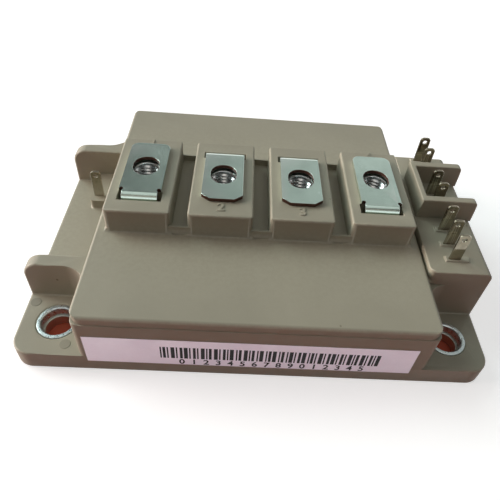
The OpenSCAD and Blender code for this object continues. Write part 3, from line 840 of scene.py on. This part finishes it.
def raise_digit(name, digit, height, place, maker, thick, swell=0.0, widen=0.0):
    """A plain digit as a thin raised piece, laid where the matrix puts it."""
    text = bpy.data.curves.new(name, "FONT")
    text.body = digit
    text.size = height * TEXT_OVER_DIGIT
    text.align_x = "CENTER"
    text.align_y = "CENTER"
    text.extrude = thick
    text.offset = swell + widen
    text.bevel_depth = swell
    text.bevel_resolution = 1
    text.resolution_u = 4
    holder = bpy.data.objects.new(name, text)
    bpy.context.scene.collection.objects.link(holder)
    made = mesh_of(holder)
    bpy.data.curves.remove(text)
    mesh = bmesh.new()
    mesh.from_mesh(made)
    bpy.data.meshes.remove(made)
    bmesh.ops.remove_doubles(mesh, verts=mesh.verts, dist=0.001 * MM)
    bmesh.ops.transform(mesh, verts=mesh.verts, matrix=place)
    piece(name, mesh, [shared(maker)])


# ---------------------------------------------------------------- pieces

# How far the case's rim lies above the foot of the lid's locating lip.
LIP_DEPTH = 1.5 * MM
# How far the bushes stand above the ears.
BUSH_STANDS = 0.1 * MM

# Shares of the moulded edge radius, by zone.
BLOCK_SHARE = 0.5
RIM_SHARE = 0.35
EAR_SHARE = 0.8
SKIRT_SHARE = 0.4
LID_SHARE = 0.2

# Ejector marks on the front left ear, in millimetres from its bush.
EJECTOR_MARKS = ((-6.6, 5.2), (3.3, -6.1))
MARK_HEIGHT = 0.12 * MM

# Section of the rim's step, in millimetres outward and down.
LEDGE_SECTION = ((-0.05, 0.0), (0.06, 0.0), (0.18, 0.08), (0.18, 0.22), (-0.05, 0.34))

INNER_TERMINALS = (2, 3)
FRONT_NUMBER_Y = -11.5 * MM
REAR_NUMBER_Y = 12.75 * MM
NUMBER_THICK = 0.12 * MM
NUMBER_SWELL = 0.06 * MM

# Where the terminals bend down. Farther than the reach from there, the upright faces at the
# ends of a plate and in its hole are bare copper.
FRONT_BEND_Y = -10.1 * MM
REAR_BEND_Y = 9.7 * MM
BEND_REACH = 1.4 * MM
PLATE_THICK = 1.05 * MM
HOLE_REACH = 4 * MM

BASE_ROUND = 0.2 * MM
BUSH_ROUND = 0.28 * MM
PIN_ROUND = 0.07 * MM
LABEL_ROUND = 0.05 * MM

# The nuts' faces. The bore's mouths flare by the first length over the second.
NUT_CHAMFER = 0.5 * MM
NUT_CHAMFER_SHARE = 0.93
MOUTH_FLARE = 0.15 * MM
MOUTH_DEPTH = 0.3 * MM

# The nuts' threads. The foot is sunk into the wall of the bore.
CREST_RADIUS = 2.52 * MM
THREAD_SINK = 0.05 * MM
THREAD_START = 0.5 * MM
THREAD_SIDES = 32
# Half the foot and half the crest of the thread, in pitches.
THREAD_FOOT, THREAD_CREST = 0.48, 0.05
THREAD_SHARP = math.radians(30)

# The label's plain bars and digits.
BARS_FROM, BARS_TO = -21.2 * MM, 27.6 * MM
BAR_WIDTHS = (0.34, 0.62, 0.34, 0.86, 0.34, 0.62, 0.86)
BAR_GAPS = (0.28, 0.28, 0.50, 0.28, 0.50)
BAR_MIDDLE = 8.75 * MM
BAR_HEIGHT = 4.4 * MM
INK_THICK = 0.01 * MM
LABEL_DIGITS = 16
LABEL_DIGIT_HEIGHT = 1.9 * MM
LABEL_DIGIT_FROM = -16.5 * MM
LABEL_DIGIT_STEP = 2.72 * MM
LABEL_DIGIT_Z = 5.15 * MM
LABEL_DIGIT_WIDEN = 0.07 * MM


def middle_of(edge):
    """The middle of an edge."""
    return (edge.verts[0].co + edge.verts[1].co) / 2


def rim_step(rim, far):
    """The step of the case's rim, swept along the lid's outline."""
    lid = surface_of("lid")
    outline = [
        edge
        for edge in lid.edges
        if all(
            abs(vert.co.z - rim) < 0.01 * MM
            and (abs(vert.co.x) > far.x - 2 * MM or abs(vert.co.y) > far.y - 2 * MM)
            for vert in edge.verts
        )
    ]
    step = bmesh.new()
    rings = []
    for outward, down in LEDGE_SECTION:
        wide = 1 + outward * MM / far.x
        deep = 1 + outward * MM / far.y
        made = {}
        for vert in (vert for edge in outline for vert in edge.verts):
            if vert not in made:
                place = (vert.co.x * wide, vert.co.y * deep, rim - down * MM)
                made[vert] = step.verts.new(place)
        rings.append([step.edges.new([made[vert] for vert in edge.verts]) for edge in outline])
    lid.free()
    for first, second in zip(rings, rings[1:] + rings[:1]):
        bmesh.ops.bridge_loops(step, edges=first + second)
    bmesh.ops.recalc_face_normals(step, faces=step.faces)
    return step


class MODULE_OT_case(Operator):
    """Builds the moulded case with rounded edges, ejector marks and the step of its rim"""

    bl_idname = "module.case"
    bl_label = "Case"

    def execute(self, context):
        moulding = context.scene.module_moulding
        near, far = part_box("lid")
        ear_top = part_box("bush_front_left")[1].z - BUSH_STANDS
        rim = near.z + LIP_DEPTH
        inside = 1.0 * MM

        def radius(edge):
            place = middle_of(edge)
            if (
                near.x + inside < place.x < far.x - inside
                and near.y + inside < place.y < far.y - inside
            ):
                return 0
            if place.x > far.x + 0.1 * MM and place.z > ear_top + 1 * MM:
                share = BLOCK_SHARE
            elif abs(place.z - rim) < 0.2 * MM:
                share = RIM_SHARE
            elif place.z > ear_top + 0.5 * MM:
                share = 1
            elif place.z > ear_top - 0.5 * MM:
                share = EAR_SHARE
            else:
                share = SKIRT_SHARE
            return moulding.edge_round * share

        mesh = rounded(surface_of("case_frame"), moulding.edge_round, radius)
        plain = [shared(moulded_plastic)]
        piece("case_moulding", mesh, plain, ["case_frame"])
        corner = middle("bush_front_left")
        marks = bmesh.new()
        for across, along in EJECTOR_MARKS:
            place = Vector((corner.x + across * MM, corner.y + along * MM, ear_top))
            disc(marks, place, moulding.mark_radius, MARK_HEIGHT)
        piece("ejector_marks", marks, [shared(pressed_plastic)])
        piece("case_ledge", rim_step(rim, far), plain)
        return {"FINISHED"}


class MODULE_OT_lid(Operator):
    """Builds the moulded lid with its four terminal towers"""

    bl_idname = "module.lid"
    bl_label = "Lid"

    def execute(self, context):
        edge_round = context.scene.module_moulding.edge_round
        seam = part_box("lid")[0].z + LIP_DEPTH
        shortest = 0.3 * MM

        def radius(edge):
            if middle_of(edge).z < seam or edge.calc_length() < shortest:
                return 0
            return edge_round * LID_SHARE

        mesh = rounded(surface_of("lid"), edge_round, radius)
        piece("lid_moulding", mesh, [shared(moulded_plastic)], ["lid"])
        return {"FINISHED"}


class MODULE_OT_numbers(Operator):
    """Raises a plain number beside each terminal"""

    bl_idname = "module.numbers"
    bl_label = "Terminal Numbers"

    def execute(self, context):
        height = context.scene.module_moulding.digit_height
        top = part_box("lid")[1].z
        for number, node in enumerate(TERMINALS, start=1):
            along = FRONT_NUMBER_Y if number in INNER_TERMINALS else REAR_NUMBER_Y
            raise_digit(
                f"raised_number_{number}",
                str(number),
                height,
                Matrix.Translation((middle(node).x, along, top)),
                moulded_plastic,
                thick=NUMBER_THICK,
                swell=NUMBER_SWELL,
            )
        return {"FINISHED"}


class MODULE_OT_baseplate(Operator):
    """Builds the plated baseplate with broken edges"""

    bl_idname = "module.baseplate"
    bl_label = "Baseplate"

    def execute(self, context):
        mesh = rounded(surface_of("baseplate"), BASE_ROUND, segments=2)
        piece("base_sheet", mesh, [shared(plated_copper)], ["baseplate"])
        return {"FINISHED"}


class MODULE_OT_bushes(Operator):
    """Builds the four metal bushes with rounded rims"""

    bl_idname = "module.bushes"
    bl_label = "Bushes"

    def execute(self, context):
        for name in BUSHES:
            mesh = rounded(surface_of(name), BUSH_ROUND)
            piece(f"ring_{name}", mesh, [shared(zinc_bush)], [name])
        return {"FINISHED"}


class MODULE_OT_terminals(Operator):
    """Builds the four screw terminals, plated faces and bare cut edges apart"""

    bl_idname = "module.terminals"
    bl_label = "Terminals"

    def execute(self, context):
        metal = context.scene.module_metal
        for number, node in enumerate(TERMINALS, start=1):
            plate_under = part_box(node)[1].z - PLATE_THICK
            bend_y = REAR_BEND_Y if number in INNER_TERMINALS else FRONT_BEND_Y
            centre = middle(node).x
            mesh = surface_of(node)
            for face in mesh.faces:
                place = face.calc_center_median()
                upright = place.z > plate_under and abs(face.normal.z) < 0.3
                end_on = abs(face.normal.y) > 0.35 or abs(place.x - centre) < HOLE_REACH
                cut = upright and end_on and abs(place.y - bend_y) > BEND_REACH
                face.material_index = 1 if cut else 0
            mesh = rounded(mesh, metal.sheet_round, segments=2)
            piece(
                f"terminal_sheet_{number}",
                mesh,
                [shared(nickel_sheet), shared(cut_copper)],
                [node],
            )
        return {"FINISHED"}


def hexagon(low, high, root):
    """A hexagon nut with chamfered faces and a round bore, closed all round."""
    centre = (low + high) / 2
    corner = min(high.x - low.x, high.y - low.y) / 2 / math.cos(math.pi / 6)
    wide_in_x = (high.x - low.x) > (high.y - low.y)
    turn = Matrix.Rotation(math.pi / 6 if wide_in_x else 0, 4, "Z")
    mesh = bmesh.new()
    rings = []
    for radius, height, sides in (
        (root + MOUTH_FLARE, high.z, ROUND_SIDES),
        (corner * NUT_CHAMFER_SHARE, high.z, 6),
        (corner, high.z - NUT_CHAMFER, 6),
        (corner, low.z + NUT_CHAMFER, 6),
        (corner * NUT_CHAMFER_SHARE, low.z, 6),
        (root + MOUTH_FLARE, low.z, ROUND_SIDES),
        (root, low.z + MOUTH_DEPTH, ROUND_SIDES),
        (root, high.z - MOUTH_DEPTH, ROUND_SIDES),
    ):
        ring = bmesh.ops.create_circle(
            mesh,
            cap_ends=False,
            segments=sides,
            radius=radius,
            matrix=Matrix.Translation((centre.x, centre.y, height)) @ turn,
        )
        verts = set(ring["verts"])
        rings.append([edge for edge in mesh.edges if verts.issuperset(edge.verts)])
    for first, second in zip(rings, rings[1:] + rings[:1]):
        bmesh.ops.bridge_loops(mesh, edges=first + second)
    bmesh.ops.recalc_face_normals(mesh, faces=mesh.faces)
    return mesh


def helix(low, high, root, pitch):
    """The thread of a nut, swept along its bore and closed at both ends."""
    centre = (low + high) / 2
    foot = root + THREAD_SINK
    thread = bmesh.new()
    line = [
        thread.verts.new((centre.x + radius, centre.y, low.z + THREAD_START + part * pitch))
        for radius, part in (
            (foot, -THREAD_FOOT),
            (CREST_RADIUS, -THREAD_CREST),
            (CREST_RADIUS, THREAD_CREST),
            (foot, THREAD_FOOT),
        )
    ]
    edges = [thread.edges.new(pair) for pair in zip(line, line[1:] + line[:1])]
    turns = max(1, round((high.z - low.z - 2 * THREAD_START) / pitch - 0.4))
    bmesh.ops.spin(
        thread,
        geom=line + edges,
        cent=(centre.x, centre.y, 0),
        axis=(0, 0, 1),
        dvec=(0, 0, pitch / THREAD_SIDES),
        angle=math.tau * turns,
        steps=THREAD_SIDES * turns,
        use_merge=False,
    )
    ends = [edge for edge in thread.edges if edge.is_boundary]
    bmesh.ops.holes_fill(thread, edges=ends, sides=4)
    bmesh.ops.recalc_face_normals(thread, faces=thread.faces)
    return thread


class MODULE_OT_nuts(Operator):
    """Builds the captive hexagon nuts with their threads"""

    bl_idname = "module.nuts"
    bl_label = "Nuts"

    def execute(self, context):
        metal = context.scene.module_metal
        root = CREST_RADIUS + metal.thread_depth
        for number, node in enumerate(NUTS, start=1):
            low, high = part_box(node)
            steel = [shared(nut_steel)]
            piece(f"hexagon_nut_{number}", hexagon(low, high, root), steel, [node])
            thread = helix(low, high, root, metal.thread_pitch)
            piece(f"nut_thread_{number}", thread, steel, sharp=THREAD_SHARP)
        return {"FINISHED"}


class MODULE_OT_pins(Operator):
    """Builds the blade pins with rounded tips and edges"""

    bl_idname = "module.pins"
    bl_label = "Pins"

    def execute(self, context):
        for number, node in enumerate(PINS, start=1):
            mesh = rounded(surface_of(node), PIN_ROUND, segments=2)
            piece(f"blade_pin_{number}", mesh, [shared(pin_metal)], [node])
        return {"FINISHED"}


class MODULE_OT_label(Operator):
    """Builds the label with its rounded film edge, plain bars and digits"""

    bl_idname = "module.label"
    bl_label = "Label"

    def execute(self, context):
        mesh = rounded(surface_of("label"), LABEL_ROUND, segments=2)
        piece("bare_label", mesh, [shared(label_stock)], ["label"])
        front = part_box("label")[0].y
        bars = bmesh.new()
        along = BARS_FROM
        step = 0
        while along < BARS_TO:
            width = BAR_WIDTHS[step % len(BAR_WIDTHS)] * MM
            place = Matrix.Translation((along + width / 2, front, BAR_MIDDLE))
            size = Matrix.Diagonal((width, INK_THICK, BAR_HEIGHT, 1))
            bmesh.ops.create_cube(bars, size=1, matrix=place @ size)
            along += width + BAR_GAPS[step % len(BAR_GAPS)] * MM
            step += 1
        piece("plain_bars", bars, [shared(label_ink)])
        upright = Matrix.Rotation(math.pi / 2, 4, "X")
        for index in range(LABEL_DIGITS):
            place = (LABEL_DIGIT_FROM + index * LABEL_DIGIT_STEP, front, LABEL_DIGIT_Z)
            raise_digit(
                f"label_digit_{index + 1}",
                str(index % 10),
                LABEL_DIGIT_HEIGHT,
                Matrix.Translation(place) @ upright,
                label_ink,
                thick=INK_THICK / 2,
                widen=LABEL_DIGIT_WIDEN,
            )
        return {"FINISHED"}


class MODULE_OT_inside(Operator):
    """Finishes the substrates, chips, wires and gel under the lid"""

    bl_idname = "module.inside"
    bl_label = "Inside"

    def execute(self, context):
        coat(CERAMICS, shared(white_ceramic))
        coat(("base_copper", "copper_tracks"), shared(bare_copper))
        coat(("switch_chips", "diode_chips"), shared(chip_silicon))
        coat(("temperature_sensor",), shared(sensor_body))
        coat(("bond_wires",), shared(wire_aluminium))
        coat(("silicone_gel",), shared(silicone_gel))
        return {"FINISHED"}


# ---------------------------------------------------------------- studio

# Name, direction toward the lamp, strength, spread in degrees and tint.
LAMPS = (
    ("window", (-0.95, 0.1, 0.2), 4.3, 35, (1.0, 0.84, 0.80)),
    ("side_window", (-0.75, 0.45, 0.65), 1.65, 35, (0.85, 1.0, 0.98)),
    ("ceiling", (0.0, -0.08, 0.99), 0.36, 50, (1.0, 1.0, 0.98)),
    ("front_window", (0.0, -0.72, 0.69), 0.12, 40, (1.0, 0.84, 0.74)),
)
# The room is dim, but for a pale wall behind the module that the metal reflects.
ROOM_LEVEL = 0.03
WALL_LEVEL = 0.43
WALL_DIRECTION = (0.35, 0.615, 0.707)
WALL_FROM, WALL_TO = 0.80, 0.97
ROOM_TINT = (0.94, 1.0, 0.97)

FLOOR_HALF = 3.0
FLOOR_GAP = 0.02 * MM
BACKDROP_RADIUS = 2.9
BACKDROP_HEIGHT = 1.7

# Under the module the floor is dark red and gives no light. Over these stretches, in
# millimetres from the middle, it turns white.
FLOOR_FROM_X, FLOOR_TO_X = 52, 53
FLOOR_FROM_Y, FLOOR_TO_Y = 37, 38

SENSOR_WIDTH = 36
LENS_SHIFT = (-0.0198, -0.0230)
CLIP_NEAR, CLIP_FAR = 0.001, 20


def floor_paint():
    """White floor to the eye and in reflections, and a dark red one under the module."""
    made = Finish("floor_paint")
    eye = made.node("ShaderNodeLightPath", output="Is Camera Ray")
    gloss = made.node("ShaderNodeLightPath", output="Is Glossy Ray")
    through = made.node("ShaderNodeLightPath", output="Is Transmission Ray")
    place = made.place()
    aside, along = (
        abs(made.node("ShaderNodeSeparateXYZ", {}, {"Vector": place}, output=axis))
        for axis in ("X", "Y")
    )
    open_floor = place.maths(
        "MAXIMUM",
        made.span(aside, FLOOR_FROM_X, FLOOR_TO_X),
        made.span(along, FLOOR_FROM_Y, FLOOR_TO_Y),
    )
    shown = made.node(
        "ShaderNodeMath",
        {"operation": "ADD", "use_clamp": True},
        {0: eye + gloss, 1: through},
    )
    shown = shown * open_floor
    clouds = made.noise(place, 0.01, 2.0)
    white = made.blend(clouds, (0.66, 0.66, 0.66), (0.68, 0.68, 0.68))
    shade = made.blend(shown, (0.46, 0.10, 0.06), white)
    glow = made.blend(shown, (0, 0, 0), (0.58, 0.58, 0.58))
    return made.surface(
        Base_Color=shade,
        Roughness=0.9,
        Specular_IOR_Level=0.0,
        Emission_Color=glow,
        Emission_Strength=1.0,
    )


def backdrop_paint():
    """White backdrop around the floor's edge."""
    made = Finish("backdrop_paint")
    clouds = made.noise(made.place(), 0.01, 2.0)
    glow = made.blend(clouds, (0.97, 0.97, 0.97), (1.0, 1.0, 1.0))
    return made.surface(
        Base_Color=(0.0, 0.0, 0.0),
        Roughness=1.0,
        Specular_IOR_Level=0.0,
        Emission_Color=glow,
        Emission_Strength=1.0,
    )


class MODULE_OT_studio(Operator):
    """Sets up the floor, the backdrop, the lamps, the room and the camera"""

    bl_idname = "module.studio"
    bl_label = "Studio"

    def execute(self, context):
        scene = context.scene
        studio = scene.module_studio
        scene.view_settings.view_transform = "Standard"

        ground = bmesh.new()
        bmesh.ops.create_grid(ground, x_segments=1, y_segments=1, size=FLOOR_HALF)
        floor = object_of("floor", ground, [floor_paint()])
        floor.location.z = cad_box[0][2] - FLOOR_GAP

        for name, direction, strength, spread, tint in LAMPS:
            lamp = bpy.data.lights.new(name, "SUN")
            lamp.energy = strength * studio.lamp_level
            lamp.angle = math.radians(spread)
            lamp.color = tint
            thing = bpy.data.objects.new(name, lamp)
            thing.rotation_euler = Vector(direction).to_track_quat("Z", "Y").to_euler()
            scene.collection.objects.link(thing)

        backdrop = bmesh.new()
        bmesh.ops.create_circle(
            backdrop, cap_ends=False, segments=2 * ROUND_SIDES, radius=BACKDROP_RADIUS
        )
        made = bmesh.ops.extrude_edge_only(backdrop, edges=backdrop.edges)
        risen = [item for item in made["geom"] if isinstance(item, bmesh.types.BMVert)]
        bmesh.ops.translate(backdrop, verts=risen, vec=(0, 0, BACKDROP_HEIGHT))
        screen = object_of("backdrop", backdrop, [backdrop_paint()])
        screen.location.z = floor.location.z
        screen.visible_diffuse = False
        screen.visible_shadow = False

        world = bpy.data.worlds.new("studio_world")
        world.use_nodes = True
        scene.world = world
        room = Finish("studio_world", world.node_tree)
        toward = room.node("ShaderNodeTexCoord", output="Generated")
        lean = room.node(
            "ShaderNodeVectorMath",
            {"operation": "DOT_PRODUCT"},
            {0: toward, 1: WALL_DIRECTION},
            output="Value",
        )
        level = room.span(lean, WALL_FROM, WALL_TO, ROOM_LEVEL, WALL_LEVEL)
        light = room.node("ShaderNodeBackground", {}, {"Color": ROOM_TINT, "Strength": level})
        room.node("ShaderNodeOutputWorld", {}, {"Surface": light})

        camera = bpy.data.cameras.new("camera")
        camera.lens = studio.lens
        camera.sensor_width = SENSOR_WIDTH
        camera.shift_x, camera.shift_y = LENS_SHIFT
        camera.clip_start, camera.clip_end = CLIP_NEAR, CLIP_FAR
        viewer = bpy.data.objects.new("camera", camera)
        viewer.location = studio.camera_place
        viewer.rotation_euler = Euler(studio.camera_turn, "XYZ")
        scene.collection.objects.link(viewer)
        scene.camera = viewer
        return {"FINISHED"}


class MODULE_PT_panel(Panel):
    """Lists the pieces and the studio"""

    bl_idname = "MODULE_PT_panel"
    bl_label = "IGBT Module"
    bl_space_type = "VIEW_3D"
    bl_region_type = "UI"
    bl_category = "IGBT Module"

    def draw(self, context):
        for group in (
            context.scene.module_moulding,
            context.scene.module_metal,
            context.scene.module_studio,
        ):
            box = self.layout.box()
            for name in group.__annotations__:
                box.prop(group, name)
        for operator in OPERATORS:
            self.layout.operator(operator.bl_idname)


GROUPS = (
    ("module_moulding", ModuleMoulding),
    ("module_metal", ModuleMetal),
    ("module_studio", ModuleStudio),
)
OPERATORS = (
    MODULE_OT_case,
    MODULE_OT_lid,
    MODULE_OT_numbers,
    MODULE_OT_baseplate,
    MODULE_OT_bushes,
    MODULE_OT_terminals,
    MODULE_OT_nuts,
    MODULE_OT_pins,
    MODULE_OT_label,
    MODULE_OT_inside,
    MODULE_OT_studio,
)


def register():
    for name, group in GROUPS:
        bpy.utils.register_class(group)
        setattr(bpy.types.Scene, name, PointerProperty(type=group))
    for made in (*OPERATORS, MODULE_PT_panel):
        bpy.utils.register_class(made)


def unregister():
    for made in reversed((*OPERATORS, MODULE_PT_panel)):
        bpy.utils.unregister_class(made)
    for name, group in reversed(GROUPS):
        delattr(bpy.types.Scene, name)
        bpy.utils.unregister_class(group)


def main():
    """Builds the pieces and the studio in order."""
    register()
    for operator in OPERATORS:
        family, action = operator.bl_idname.split(".")
        getattr(getattr(bpy.ops, family), action)()


if __name__ == "__main__":
    main()
